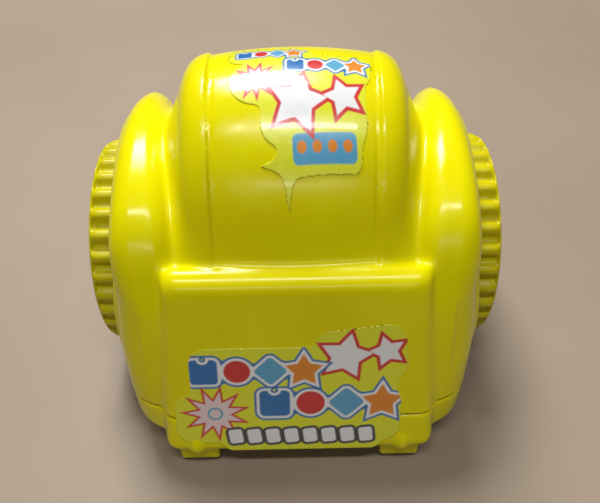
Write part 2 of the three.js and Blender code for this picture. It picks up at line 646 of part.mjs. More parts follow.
earSpots.forEach((y, n) => [-1, 1].forEach((side) => add(
  `motor_screw_${2 * n + (side > 0 ? 2 : 1)}`, screw(motorScrewTop - motorScrewTip).rotate([180, 0, 0]),
  ...metal, [side * housingHalf / 2, y, motorScrewTop])));
add('roof_label', sheetOverRoof(), paper, 0.2);
add('tail_label', plateOnTail(), paper, 0.2);

export default group;
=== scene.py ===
"""Pull back toy car: the moulded skin, wheels, labels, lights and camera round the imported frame."""

import json
import math

import bpy
import numpy as np
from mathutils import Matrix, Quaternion, Vector


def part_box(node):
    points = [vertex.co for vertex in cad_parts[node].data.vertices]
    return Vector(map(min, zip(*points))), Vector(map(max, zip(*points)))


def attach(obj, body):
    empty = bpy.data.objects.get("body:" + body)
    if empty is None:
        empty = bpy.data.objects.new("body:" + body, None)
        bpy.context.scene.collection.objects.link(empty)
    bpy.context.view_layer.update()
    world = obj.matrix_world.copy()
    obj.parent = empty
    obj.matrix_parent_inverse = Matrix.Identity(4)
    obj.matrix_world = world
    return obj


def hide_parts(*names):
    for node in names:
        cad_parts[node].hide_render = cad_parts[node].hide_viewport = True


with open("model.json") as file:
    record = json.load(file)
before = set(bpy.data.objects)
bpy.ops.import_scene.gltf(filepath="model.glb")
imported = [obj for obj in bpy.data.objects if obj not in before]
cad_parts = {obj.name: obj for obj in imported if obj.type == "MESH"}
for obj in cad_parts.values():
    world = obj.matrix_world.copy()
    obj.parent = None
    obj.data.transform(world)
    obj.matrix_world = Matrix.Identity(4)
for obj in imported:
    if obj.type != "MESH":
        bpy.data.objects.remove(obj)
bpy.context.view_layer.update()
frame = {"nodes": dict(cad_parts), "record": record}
MM = 0.001

# ---------- sizes, in millimetres, from the frame ----------


def box_mm(node):
    """Lowest and highest corner of a CAD node, in millimetres."""
    low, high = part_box(node)
    return np.array(low) / MM, np.array(high) / MM


CHASSIS_LOW, CHASSIS_HIGH = box_mm("chassis")
WHEEL_LOW, WHEEL_HIGH = box_mm("rear_wheel_right")
FRONT_LOW, FRONT_HIGH = box_mm("front_wheel_right")
SHELL_LOW, SHELL_HIGH = box_mm("body_shell")

HALF_LENGTH = -CHASSIS_LOW[1]
WHEEL_RADIUS = WHEEL_HIGH[2] / 2
AXLE_Y = (WHEEL_LOW[1] + WHEEL_HIGH[1]) / 2
WHEEL_INNER = WHEEL_LOW[0]
WHEEL_WIDTH = WHEEL_HIGH[0] - WHEEL_LOW[0]
FRONT_RADIUS = FRONT_HIGH[2] / 2
FRONT_Y = (FRONT_LOW[1] + FRONT_HIGH[1]) / 2
FRONT_INNER = FRONT_LOW[0]
FRONT_WIDTH = FRONT_HIGH[0] - FRONT_LOW[0]
SEAM = (SHELL_LOW[2] + CHASSIS_HIGH[2]) / 2
FLOOR = 4.2
WALL = 1.6
FLANK = 25.7
SIDE = 24.6
ARCH = (-1.7, 15.2)
ARCH_RADIUS = 27.0
FENDER_EDGE = 3.3
SADDLE_DEPTH = 2.8
CABIN = (-0.7, 15.2)
CABIN_HALF_LENGTH = 23.9
CABIN_HEIGHT = 36.4
ROOF_HALF = 14.2
ROOF_CROWN = 1.0
TAIL_LEAN = 0.34
TAIL_TOP = 32.4
TAIL_HALF = 18.3
TAIL_TOP_Y = -HALF_LENGTH + TAIL_LEAN * (TAIL_TOP - FLOOR)
LEDGE_DEPTH = 3.2
ARCH_OPENING = 20.4
GRID = 0.5

# ---------- the moulded form, as a signed field in millimetres ----------


def smooth_min(a, b, k):
    h = np.maximum(k - np.abs(a - b), 0) / k
    return np.minimum(a, b) - h * h * k / 4


def smooth_max(a, b, k):
    return -smooth_min(-a, -b, k)


def ease(low, high, value):
    t = np.clip((value - low) / (high - low), 0, 1)
    return t * t * (3 - 2 * t)


def tail_panel(y, z):
    """Distance behind the leaning tail panel."""
    return (TAIL_LEAN * (z - FLOOR) - (y + HALF_LENGTH)) / math.hypot(1, TAIL_LEAN)


def arch_reach(y, z):
    """Distance from the line the fender arches are drawn round, stretched a little along the car."""
    along = y - ARCH[0]
    return np.hypot(along / np.where(along < 0, 1.05, 1.08), z - ARCH[1])


def fender(x, y, z):
    """The bulging arch over each drive wheel."""
    along = y - ARCH[0]
    inner = FLANK - 7 + 0.1 * np.clip(along, -ARCH_RADIUS, ARCH_RADIUS)
    outer = FLANK - 3.4 * ease(17, 31, np.abs(along))
    across = np.abs(np.abs(x) - (inner + outer) / 2) - (outer - inner) / 2 + FENDER_EDGE
    up = arch_reach(y, z) - ARCH_RADIUS + FENDER_EDGE
    rounded = np.hypot(np.maximum(across, 0), np.maximum(up, 0))
    return rounded + np.minimum(np.maximum(across, up), 0) - FENDER_EDGE


def saddle(x, y, z):
    """The valley floor between the fenders, just below their crests."""
    return np.maximum(arch_reach(y, z) - ARCH_RADIUS + SADDLE_DEPTH, np.abs(x) - FLANK + 4)


def lower_body(x, y, z):
    power = 5
    reach = (np.abs(x) / SIDE) ** power + (np.abs(y) / HALF_LENGTH) ** power
    plan = (reach ** (1 / power) - 1) * SIDE
    top = 25.7 - 0.1 * np.clip(-y, 0, 40) - 0.16 * np.clip(y - 14, 0, 40)
    return smooth_max(plan, z - top, 9)


def tail_box(x, y, z):
    side = np.abs(x) - TAIL_HALF - 0.075 * (TAIL_TOP - z)
    top = z - TAIL_TOP - 0.1 * (y - TAIL_TOP_Y)
    front = y - TAIL_TOP_Y - LEDGE_DEPTH - 0.3 * np.clip(TAIL_TOP - z, 0, 30)
    return smooth_max(smooth_max(smooth_max(side, top, 1.8), tail_panel(y, z), 2.2), front, 1.4)


def cabin_reach(y, z):
    """Distance outside the roof ellipse."""
    u = (y - CABIN[0]) / CABIN_HALF_LENGTH
    v = (z - CABIN[1]) / CABIN_HEIGHT
    reach = np.hypot(u, v)
    slope = np.hypot(u / CABIN_HALF_LENGTH, v / CABIN_HEIGHT) / np.maximum(reach, 1e-6)
    return (reach - 1) / np.maximum(slope, 1e-6)


def cabin(x, y, z):
    arch = cabin_reach(y, z)
    wide = np.abs(x)
    edge = wide - 11.7 - 0.03 * y
    strip = 0.4 * (1 - ease(-0.5, -0.1, edge)) + 0.42 * np.exp(-(((edge + 0.1) / 0.3) ** 2))
    crowned = arch + ROOF_CROWN * (np.minimum(wide, 16) / 12) ** 2 + strip - 0.15
    flank = (wide - ROOF_HALF - 0.42 * np.clip(-arch, 0, 12)) * 0.92
    return smooth_max(crowned, flank, 1.9)


def body_form(x, y, z):
    hull = smooth_min(lower_body(x, y, z), fender(x, y, z), 6)
    behind = smooth_max(hull, tail_panel(y, z) + 1.3, 5)
    top = smooth_min(cabin(x, y, z), saddle(x, y, z), 3)
    rear = smooth_min(behind, tail_box(x, y, z), 1.2)
    return smooth_min(rear, np.maximum(top, tail_panel(y, z) + 2), 1)


def arch_lip(y, z):
    """Distance from the bead round each drive wheel's opening."""
    return np.hypot(y - AXLE_Y, z - WHEEL_RADIUS) - ARCH_OPENING - 0.75


def wheel_well(x, y, z, radius, centre_y, centre_z, inner):
    return smooth_max(np.hypot(y - centre_y, z - centre_z) - radius, inner - np.abs(x), 0.8)


def front_details(x, y, z):
    """How far the skin is raised at the nose: a recessed windscreen, round lamps and grille bars."""
    ahead = ease(5, 6, y)
    screen = np.maximum(np.abs(x) - 10.5 + 0.08 * (z - 36), np.abs(z - 39) - 6.2)
    lamp = np.hypot(np.abs(x) - 14.5, z - 20) - 2.9
    grille = np.maximum(np.abs(x) - 8, np.abs(z - 17.5) - 2.4)
    bars = 0.5 - 0.5 * np.cos((z - 17.5) * 2 * math.pi / 1.6)
    on_nose = ease(24, 26, y)
    raised = -0.45 * ahead * (1 - ease(-0.5, 0.5, screen))
    raised = raised + 0.5 * on_nose * (1 - ease(-0.6, 0.3, lamp))
    return raised - 0.4 * on_nose * bars * (1 - ease(-0.4, 0.4, grille))


def shell_form(x, y, z):
    form = body_form(x, y, z)
    skin = form - front_details(x, y, z)
    lip = np.abs(arch_lip(y, z)) - 0.75
    skin_lip = skin - 0.55 * (1 - ease(-0.1, 0.7, lip)) * ease(21, 23, np.abs(x))
    form = smooth_max(skin_lip, -(form + WALL), 0.5)
    form = smooth_max(form, SEAM + 0.15 - z, 0.5)
    rear = wheel_well(x, y, z, ARCH_OPENING, AXLE_Y, WHEEL_RADIUS, FRONT_INNER)
    front = wheel_well(x, y, z, FRONT_RADIUS + 1.4, FRONT_Y, FRONT_RADIUS, FRONT_INNER - 0.7)
    return smooth_max(smooth_max(form, -rear, 0.6), -front, 0.6)


def rounded_box(x, y, z, centre, half, radius):
    q = [np.abs(v - c) - h + radius for v, c, h in zip((x, y, z), centre, half)]
    outside = np.sqrt(sum(np.maximum(v, 0) ** 2 for v in q))
    return outside + np.minimum(np.maximum(np.maximum(q[0], q[1]), q[2]), 0) - radius


LUG_X = 15.4


def chassis_form(x, y, z):
    skin = smooth_max(body_form(x, y, z) + 0.1, FLOOR - z, 2.4)
    inside = np.maximum(body_form(x, y, z) + WALL, FLOOR + WALL - z)
    form = smooth_max(skin, -inside, 0.5)
    form = smooth_max(form, z - SEAM + 0.15, 0.5)
    rear = wheel_well(x, y, z, WHEEL_RADIUS + 1.6, AXLE_Y, WHEEL_RADIUS, WHEEL_INNER - 0.9)
    front = wheel_well(x, y, z, FRONT_RADIUS + 1.4, FRONT_Y, FRONT_RADIUS, FRONT_INNER - 0.9)
    form = smooth_max(smooth_max(form, -rear, 0.6), -front, 0.6)
    lug = rounded_box(np.abs(x), y, z, (LUG_X, -HALF_LENGTH + 3.4, 3.1), (3, 2, 2.1), 0.4)
    nub = np.hypot(np.hypot(np.abs(x) - LUG_X, (y + HALF_LENGTH - 1.3) / 1.1), (z - FLOOR - 1.4) / 1.5) - 1.15
    return smooth_min(smooth_min(form, lug, 0.6), nub, 0.6)


# ---------- field to mesh ----------


def gradient(field, points, step=0.03):
    x, y, z = points.T
    return np.stack(
        [
            field(x + step, y, z) - field(x - step, y, z),
            field(x, y + step, z) - field(x, y - step, z),
            field(x, y, z + step) - field(x, y, z - step),
        ],
        1,
    ) / (2 * step)


def skin_of(field, low, high, cell, pulls=4):
    """Vertices and quads of the surface field = 0: one vertex in each crossed grid cell."""
    counts = [int(math.ceil((high[k] - low[k]) / cell)) + 1 for k in range(3)]
    axes = [low[k] + cell * np.arange(counts[k]) for k in range(3)]
    values = field(*np.meshgrid(*axes, indexing="ij"))
    inside = values < 0
    cells = tuple(n - 1 for n in counts)
    corners = [(i, j, k) for i in (0, 1) for j in (0, 1) for k in (0, 1)]
    filled = np.zeros(cells, np.int8)
    for i, j, k in corners:
        filled += inside[i : i + cells[0], j : j + cells[1], k : k + cells[2]]
    places = np.argwhere((filled > 0) & (filled < 8))
    number = np.full(cells, -1, np.int64)
    number[tuple(places.T)] = np.arange(len(places))
    total = np.zeros((len(places), 3))
    crossings = np.zeros(len(places))
    for a in corners:
        for axis in range(3):
            if a[axis]:
                continue
            b = tuple(v + (n == axis) for n, v in enumerate(a))
            va = values[tuple((places + a).T)]
            vb = values[tuple((places + b).T)]
            crossed = (va < 0) != (vb < 0)
            share = np.where(crossed, va / np.where(crossed, va - vb, 1), 0)
            point = np.array(a)[None, :] + share[:, None] * (np.array(b) - np.array(a))[None, :]
            total += point * crossed[:, None]
            crossings += crossed
    points = np.array(low) + cell * (places + total / crossings[:, None])
    quads = []
    for axis in range(3):
        others = [(axis + 1) % 3, (axis + 2) % 3]
        first = [slice(None)] * 3
        last = [slice(None)] * 3
        first[axis] = slice(0, -1)
        last[axis] = slice(1, None)
        starts = np.argwhere(inside[tuple(first)] != inside[tuple(last)])
        starts = starts[(starts[:, others] > 0).all(1)]
        e = np.eye(3, dtype=int)[others[0]]
        f = np.eye(3, dtype=int)[others[1]]
        ring = [number[tuple((starts - s).T)] for s in (e + f, f, 0 * e, e)]
        quad = np.stack(ring, 1)
        quads.append(np.where(inside[tuple(starts.T)][:, None], quad, quad[:, ::-1]))
    for _ in range(pulls):
        slope = gradient(field, points)
        length2 = np.maximum((slope * slope).sum(1), 1e-3)
        move = np.clip(field(*points.T) / length2, -cell / 3, cell / 3)
        points = points - move[:, None] * slope
    return points, np.concatenate(quads)


def make_mesh(name, points_mm, faces, normals=None):
    mesh = bpy.data.meshes.new(name)
    mesh.from_pydata((np.asarray(points_mm) * MM).tolist(), [], [tuple(map(int, face)) for face in faces])
    mesh.update()
    mesh.shade_smooth()
    if normals is not None:
        mesh.normals_split_custom_set_from_vertices(normals.tolist())
    piece = bpy.data.objects.new(name, mesh)
    bpy.context.scene.collection.objects.link(piece)
    return piece


def skin_piece(name, field, low, high, cell):
    points, quads = skin_of(field, low, high, cell)
    slope = gradient(field, points)
    return make_mesh(name, points, quads, slope / np.linalg.norm(slope, axis=1)[:, None])


# ---------- materials ----------


class Nodes:
    """A short way to write a material's node tree."""

    def __init__(self, name):
        self.material = bpy.data.materials.new(name)
        self.material.use_nodes = True
        self.tree = self.material.node_tree
        self.shader = self.tree.nodes["Principled BSDF"]

    def add(self, kind, **settings):
        node = self.tree.nodes.new(kind)
        for key, value in settings.items():
            if key in node.inputs:
                node.inputs[key].default_value = value
            else:
                setattr(node, key, value)
        return node

    def link(self, source, target):
        self.tree.links.new(source, target)

    def noise(self, place, scale, detail=4.0, roughness=0.55):
        node = self.add("ShaderNodeTexNoise")
        node.inputs["Scale"].default_value = scale
        node.inputs["Detail"].default_value = detail
        node.inputs["Roughness"].default_value = roughness
        self.link(place, node.inputs["Vector"])
        return node.outputs["Fac"]

    def ramp(self, value, stops):
        node = self.add("ShaderNodeValToRGB")
        band = node.color_ramp
        while len(band.elements) < len(stops):
            band.elements.new(0.5)
        for element, (at, colour) in zip(band.elements, stops):
            element.position = at
            element.color = colour if len(colour) == 4 else (*colour, 1)
        self.link(value, node.inputs["Fac"])
        return node.outputs["Color"]

    def mix(self, share, a, b, blend="MIX"):
        node = self.add("ShaderNodeMix", data_type="RGBA", blend_type=blend)
        for value, socket in ((share, node.inputs[0]), (a, node.inputs[6]), (b, node.inputs[7])):
            if isinstance(value, (int, float)):
                socket.default_value = value
            elif isinstance(value, tuple):
                socket.default_value = (*value, 1)
            else:
                self.link(value, socket)
        return node.outputs[2]

    def math(self, operation, a, b):
        node = self.add("ShaderNodeMath", operation=operation)
        for value, socket in ((a, node.inputs[0]), (b, node.inputs[1])):
            if isinstance(value, (int, float)):
                socket.default_value = value
            else:
                self.link(value, socket)
        return node.outputs[0]

    def bump(self, height, strength, distance, under=None):
        node = self.add("ShaderNodeBump")
        node.inputs["Strength"].default_value = strength
        node.inputs["Distance"].default_value = distance
        self.link(height, node.inputs["Height"])
        if under is not None:
            self.link(under, node.inputs["Normal"])
        return node.outputs["Normal"]


def grey(value):
    return (value, value, value)


def moulded_plastic(name, colour, deep, worn, gloss=0.16, sheen_bump=0.05):
    """Injection moulded plastic: flow clouding, edge wear, fine handling scratches."""
    n = Nodes(name)
    place = n.add("ShaderNodeTexCoord").outputs["Object"]
    cloud = n.noise(place, 55, 3)
    base = n.mix(n.ramp(cloud, [(0.35, grey(0)), (0.7, grey(1))]), colour, deep)
    edge = n.add("ShaderNodeNewGeometry").outputs["Pointiness"]
    wear = n.ramp(edge, [(0.52, grey(0)), (0.62, grey(1))])
    speck = n.ramp(n.noise(place, 900, 5, 0.7), [(0.5, grey(0)), (0.62, grey(1))])
    worn_share = n.math("MULTIPLY", n.math("MULTIPLY", wear, speck), 0.5)
    n.link(n.mix(worn_share, base, worn), n.shader.inputs["Base Color"])
    scuff = n.ramp(n.noise(place, 240, 6, 0.65), [(0.42, grey(gloss)), (0.78, grey(gloss + 0.16))])
    n.link(n.mix(worn_share, scuff, grey(0.5)), n.shader.inputs["Roughness"])
    waves = n.bump(n.noise(place, 110, 2), sheen_bump, 0.0006)
    grain = n.bump(n.noise(place, 2600, 3), 0.05, 0.00005, waves)
    n.link(grain, n.shader.inputs["Normal"])
    n.shader.inputs["IOR"].default_value = 1.45
    n.shader.inputs["Specular IOR Level"].default_value = 0.32
    return n.material


def drawn_steel(name, colour, rough=0.28):
    """Bright steel rod: fine lines along it, small stains and duller patches."""
    n = Nodes(name)
    place = n.add("ShaderNodeTexCoord").outputs["Object"]
    stretch = n.add("ShaderNodeMapping")
    stretch.inputs["Scale"].default_value = (0.05, 1, 1)
    n.link(place, stretch.inputs["Vector"])
    lines = n.noise(stretch.outputs["Vector"], 4000, 3)
    stain = n.noise(place, 220, 4)
    dark = tuple(v * 0.72 for v in colour)
    stained = n.ramp(stain, [(0.45, grey(0)), (0.75, grey(1))])
    n.link(n.mix(stained, colour, dark), n.shader.inputs["Base Color"])
    n.link(n.ramp(stain, [(0.3, grey(rough)), (0.8, grey(rough + 0.2))]), n.shader.inputs["Roughness"])
    n.link(n.bump(lines, 0.15, 0.00003), n.shader.inputs["Normal"])
    n.shader.inputs["Metallic"].default_value = 1
    return n.material


def nylon(name, colour):
    """Dull translucent white plastic with a fine spark-eroded grain."""
    n = Nodes(name)
    place = n.add("ShaderNodeTexCoord").outputs["Object"]
    cloud = n.noise(place, 130, 4)
    dirty = tuple(v * m for v, m in zip(colour, (0.82, 0.8, 0.72)))
    n.link(n.mix(n.ramp(cloud, [(0.4, grey(0)), (0.8, grey(1))]), colour, dirty), n.shader.inputs["Base Color"])
    n.link(n.ramp(cloud, [(0.3, grey(0.42)), (0.8, grey(0.6))]), n.shader.inputs["Roughness"])
    n.link(n.bump(n.noise(place, 3200, 3), 0.2, 0.00004), n.shader.inputs["Normal"])
    n.shader.inputs["Subsurface Weight"].default_value = 0.15
    n.shader.inputs["Subsurface Radius"].default_value = (0.001, 0.001, 0.0008)
    return n.material


def printed_vinyl(name):
    """The label's printed colours, with a glossy film over slightly wavy paper."""
    n = Nodes(name)
    place = n.add("ShaderNodeTexCoord").outputs["Object"]
    ink = n.add("ShaderNodeVertexColor", layer_name="ink").outputs["Color"]
    dots = n.noise(place, 5200, 2)
    fibre = n.ramp(dots, [(0.3, grey(0.93)), (0.7, grey(1))])
    n.link(n.mix(1.0, ink, fibre, "MULTIPLY"), n.shader.inputs["Base Color"])
    haze = n.ramp(n.noise(place, 420, 4), [(0.35, grey(0.2)), (0.75, grey(0.36))])
    n.link(haze, n.shader.inputs["Roughness"])
    n.link(n.bump(n.noise(place, 260, 3), 0.12, 0.0003), n.shader.inputs["Normal"])
    n.shader.inputs["Coat Weight"].default_value = 0.3
    return n.material


LEMON = (0.77, 0.71, 0.0)
LEMON_DEEP = (0.72, 0.63, 0.0)
LEMON_WORN = (0.74, 0.70, 0.12)
body_plastic = moulded_plastic("body_plastic", LEMON, LEMON_DEEP, LEMON_WORN)
# Wheel colours, darker than the body's lemon yellow: painted shade standing in for the fender's shadow over the
# wheels.
WHEEL_COLOURS_WITH_PAINTED_SHADE = ((0.58, 0.51, 0.0), (0.5, 0.43, 0.0), (0.62, 0.56, 0.08))
wheel_plastic = moulded_plastic("wheel_plastic", *WHEEL_COLOURS_WITH_PAINTED_SHADE, 0.26, 0.03)
steel = drawn_steel("steel_rod", (0.56, 0.57, 0.58))
spring_steel = drawn_steel("spring_strip", (0.2, 0.22, 0.28), 0.35)
screw_steel = drawn_steel("zinc_screw", (0.6, 0.58, 0.5), 0.32)
housing_nylon = nylon("housing_nylon", (0.74, 0.72, 0.66))
gear_nylon = nylon("gear_nylon", (0.8, 0.79, 0.74))
label_vinyl = printed_vinyl("label_vinyl")

CAD_MATERIALS = {
    "steel": steel,
    "spring_steel": spring_steel,
    "screw_steel": screw_steel,
    "housing_plastic": housing_nylon,
    "gear_plastic": gear_nylon,
}


def dress_cad_nodes():
    """Gives each CAD node that stays its procedural material."""
    for entry in frame["record"]["subparts"]:
        material = CAD_MATERIALS.get(entry["material_slot"])
        if material is None:
            continue
        piece = frame["nodes"][entry["node"]]
        if not piece.data.materials:
            piece.data.materials.append(material)
        for slot in piece.material_slots:
            slot.material = material


# ---------- shell and chassis ----------


def make_body():
    margin = 1.5
    low = (SHELL_LOW[0] - margin, -HALF_LENGTH - margin, SEAM - margin)
    high = (SHELL_HIGH[0] + margin, HALF_LENGTH + margin, SHELL_HIGH[2] + margin)
    shell = skin_piece("shell_moulding", shell_form, low, high, GRID)
    shell.data.materials.append(body_plastic)
    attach(shell, "car_body")
    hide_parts("body_shell")
    low = (low[0], low[1], -0.5)
    high = (high[0], high[1], SEAM + margin)
    tub = skin_piece("chassis_moulding", chassis_form, low, high, GRID)
    tub.data.materials.append(body_plastic)
    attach(tub, "car_body")
    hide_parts("chassis")


# ---------- wheels ----------


def turned(name, side, profile, bend, at, segments):
    """A wheel turned about X: each row of the profile is bent by the wheel's own ribs and spokes."""
    angles = 2 * math.pi * np.arange(segments) / segments
    rows = []
    for x, r in profile:
        depth, radius = bend(x, r, angles)
        rows.append(np.stack([side * depth, radius * np.cos(angles), radius * np.sin(angles)], 1))
    faces = []
    for row in range(len(profile) - 1):
        for k in range(segments):
            a, b = row * segments + k, row * segments + (k + 1) % segments
            faces.append((a, b, b + segments, a + segments))
    first, last = 0, (len(profile) - 1) * segments
    inner, outer = len(profile) * segments, len(profile) * segments + 1
    for k in range(segments):
        after = (k + 1) % segments
        faces.append((inner, first + after, first + k))
        faces.append((outer, last + k, last + after))
    if side < 0:
        faces = [face[::-1] for face in faces]
    centres = [[side * profile[0][0], 0, 0], [side * profile[-1][0], 0, 0]]
    return make_mesh(name, np.concatenate([*rows, centres]) + np.array(at), faces)


def fillet(points, radius, steps=4):
    """The profile with each inner corner rounded."""
    out = [points[0]]
    for before, here, after in zip(points, points[1:], points[2:]):
        before, here, after = (np.array(p, float) for p in (before, here, after))
        into, away = before - here, after - here
        start = here + into * min(radius / np.linalg.norm(into), 0.45)
        end = here + away * min(radius / np.linalg.norm(away), 0.45)
        for t in np.linspace(0, 1, steps + 1):
            out.append(tuple((1 - t) ** 2 * start + 2 * t * (1 - t) * here + t * t * end))
    out.append(points[-1])
    return out


def refined(profile, longest):
    """The profile with its long stretches divided."""
    out = [profile[0]]
    for (x0, r0), (x1, r1) in zip(profile, profile[1:]):
        pieces = max(1, math.ceil(math.hypot(x1 - x0, r1 - r0) / longest))
        out += [(x0 + (x1 - x0) * k / pieces, r0 + (r1 - r0) * k / pieces) for k in range(1, pieces + 1)]
    return out


def rib_groove(angles, ribs):
    """0 on a rib's crown, 1 in the middle of a groove."""
    wave = 0.5 - 0.5 * np.cos(ribs * angles)
    return 0.6 * wave + 0.4 * ease(0.3, 0.9, wave)


def ribbed(x, r, angles, radius, width, ribs, depth, rim):
    """Radius of a tread point: grooves across the tread that stop short of a smooth outer rim."""
    near_tread = ease(radius - 1.6 * depth, radius - 0.2, r)
    inside_rim = 1 - ease(width - rim - 0.6, width - rim, x)
    return r - depth * near_tread * inside_rim * rib_groove(angles, ribs)


RIBS = 32
FRONT_RIBS = 20


def drive_wheel(side, name):
    w, R = WHEEL_WIDTH, WHEEL_RADIUS
    dish = w - 2.2
    outline = [(0.3, 0.01), (0.3, R - 3), (0.1, R - 1.2), (0.1, R), (w - 0.9, R), (w - 0.05, R - 0.6),
               (w - 0.05, R - 2.5), (dish + 0.2, R - 3.8), (dish, 5.4), (w - 0.7, 4.3), (w - 0.3, 0.01)]

    def bend(x, r, angles):
        ring = ease(4.6, 5.6, r) * (1 - ease(R - 4.6, R - 3.9, r)) * ease(dish - 1, dish - 0.3, x)
        arm = ease(0.45, 0.8, 0.5 + 0.5 * np.cos(5 * angles))
        return x + 1.1 * ring * arm, ribbed(x, r, angles, R, w, RIBS, 1.0, 0.25)

    profile = refined(fillet(outline, 0.7), 0.55)
    return turned(name, side, profile, bend, (side * WHEEL_INNER, AXLE_Y, R), RIBS * 12)


def front_wheel(side, name):
    w, R = FRONT_WIDTH, FRONT_RADIUS
    outline = [(0.4, 0.01), (0.4, R - 2), (0.1, R - 0.9), (0.1, R), (w - 0.8, R), (w - 0.05, R - 0.5),
               (w - 0.05, R - 1.8), (w - 1.2, R - 2.6), (w - 1.2, 2.4), (w - 0.3, 1.8), (w - 0.2, 0.01)]

    def bend(x, r, angles):
        return x + 0 * angles, ribbed(x, r, angles, R, w, FRONT_RIBS, 0.6, 0.6)

    profile = refined(fillet(outline, 0.45), 0.6)
    return turned(name, side, profile, bend, (side * FRONT_INNER, FRONT_Y, R), FRONT_RIBS * 10)


def make_wheels():
    for side, word in ((-1, "left"), (1, "right")):
        kinds = ((drive_wheel, "rear", "rear_axle_set"), (front_wheel, "front", "front_axle_set"))
        for build, end, body in kinds:
            piece = build(side, f"{end}_wheel_moulding_{word}")
            piece.data.materials.append(wheel_plastic)
            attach(piece, body)
            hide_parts(f"{end}_wheel_{word}")


# ---------- label artwork, as signed fields in a label's own millimetres ----------


def disc(u, v, cx, cy, radius, tall=1.0):
    return np.hypot(u - cx, (v - cy) / tall) - radius


def tile(u, v, cx, cy, half_u, half_v, radius, turn=0.0):
    c, s = math.cos(turn), math.sin(turn)
    du, dv = u - cx, v - cy
    a = np.abs(c * du + s * dv) - half_u + radius
    b = np.abs(-s * du + c * dv) - half_v + radius
    return np.hypot(np.maximum(a, 0), np.maximum(b, 0)) + np.minimum(np.maximum(a, b), 0) - radius


def star(u, v, cx, cy, outer, inner, points, turn=0.0):
    """A star with straight edges between outer tips and inner corners."""
    angle = np.arctan2(v - cy, u - cx) + turn
    radius = np.hypot(u - cx, v - cy)
    step = math.pi / points
    fold = np.abs((angle + step) % (2 * step) - step)
    px, py = radius * np.cos(fold), radius * np.sin(fold)
    tip = np.array([outer, 0.0])
    corner = inner * np.array([math.cos(step), math.sin(step)])
    edge = corner - tip
    normal = np.array([-edge[1], edge[0]]) / np.hypot(*edge)
    if normal @ tip < 0:
        normal = -normal
    return (px - tip[0]) * normal[0] + (py - tip[1]) * normal[1]


def blob(a, *rest, k=1.0):
    for b in rest:
        a = smooth_min(a, b, k)
    return a


BLUE = (0.02, 0.16, 0.42)
SKY = (0.10, 0.36, 0.56)
RED = (0.60, 0.03, 0.03)
ORANGE = (0.72, 0.24, 0.02)
WHITE = (0.80, 0.80, 0.80)
PINK = (0.78, 0.62, 0.62)
CHARCOAL = (0.05, 0.06, 0.07)
LABEL_BASE = (0.72, 0.74, 0.02)


def paint(ink, d, colour, soft):
    share = np.clip(0.5 - d / soft, 0, 1)[..., None]
    return ink * (1 - share) + np.array(colour) * share


def badge_row(ink, u, v, shapes, soft, border=0.42, outline=0.75):
    """Shapes with a white border and a dark blue outline round the whole row."""
    everything = blob(*[d for d, _ in shapes], k=0.6) if len(shapes) > 1 else shapes[0][0]
    ink = paint(ink, everything - outline, BLUE, soft)
    ink = paint(ink, everything - border, WHITE, soft)
    for d, colour in shapes:
        ink = paint(ink, d, colour, soft)
    return ink


def play_shapes(u, v, cx, cy, size):
    """A row of four toy shapes: a tile with a notch, a ball, a tile on its corner and a star."""
    gap = 1.08 * size
    a = np.maximum(tile(u, v, cx - 1.5 * gap, cy, 0.46 * size, 0.48 * size, 0.16 * size),
                   -disc(u, v, cx - 1.5 * gap, cy + 0.5 * size, 0.2 * size))
    b = disc(u, v, cx - 0.5 * gap, cy, 0.43 * size)
    c = tile(u, v, cx + 0.5 * gap, cy, 0.4 * size, 0.4 * size, 0.12 * size, math.pi / 4)
    d = star(u, v, cx + 1.5 * gap, cy, 0.56 * size, 0.3 * size, 5, -math.pi / 2) - 0.04 * size
    return [(a, BLUE), (b, RED), (c, SKY), (d, ORANGE)]


def twin_stars(u, v, cx, cy, size):
    """A large and a small star side by side."""
    big = star(u, v, cx - 0.32 * size, cy, 0.62 * size, 0.33 * size, 5, -math.pi / 2 + 0.2)
    small = star(u, v, cx + 0.62 * size, cy + 0.12 * size, 0.42 * size, 0.22 * size, 5, -math.pi / 2 - 0.3)
    return np.minimum(big, small)


def red_white(ink, d, soft, red_edge=0.6, white_edge=0.0):
    ink = paint(ink, d - red_edge, RED, soft)
    return paint(ink, d - white_edge, WHITE, soft)


def burst(ink, u, v, cx, cy, size, soft):
    d = star(u, v, cx, cy, size, 0.52 * size, 11, 0.35)
    ink = paint(ink, d - 0.1, RED, soft)
    ink = paint(ink, d + 0.22, PINK, soft)
    eye = disc(u, v, cx, cy, 0.2 * size)
    return paint(ink, np.abs(eye) - 0.16, SKY, soft)


def tail_outline(u, v):
    """Die-cut edge: a wide foot, a lobe round the burst and a raised right end."""
    main = tile(u, v, -0.6, 12.9, 14.8, 6.6, 2.6)
    lower = tile(u, v, -1.6, 7.2, 16.4, 4.4, 2.4)
    foot = tile(u, v, 0.4, 3.6, 11.6, 2.4, 1.4)
    raised = tile(u, v, 9.0, 18.0, 6.4, 4.5, 2.6, 0.12)
    return blob(main, lower, foot, raised, k=1.4)


def tail_ink(u, v):
    soft = 0.14
    ink = np.broadcast_to(np.array(LABEL_BASE), u.shape + (3,)).copy()
    ink = red_white(ink, twin_stars(u, v, 8.7, 17.9, 6.2), soft, 0.5)
    ink = badge_row(ink, u, v, play_shapes(u, v, -6.3, 15.6, 4.4), soft)
    ink = badge_row(ink, u, v, play_shapes(u, v, 4.3, 9.9, 4.8), soft)
    ink = burst(ink, u, v, -12.2, 8.2, 4.9, soft)
    bars = [tile(u, v, -9.4 + 2.75 * k, 3.9, 1.0, 1.3, 0.45, 0.12) for k in range(8)]
    ink = paint(ink, blob(*bars, k=0.2) - 0.45, CHARCOAL, soft)
    return paint(ink, np.minimum.reduce(bars), WHITE, soft)


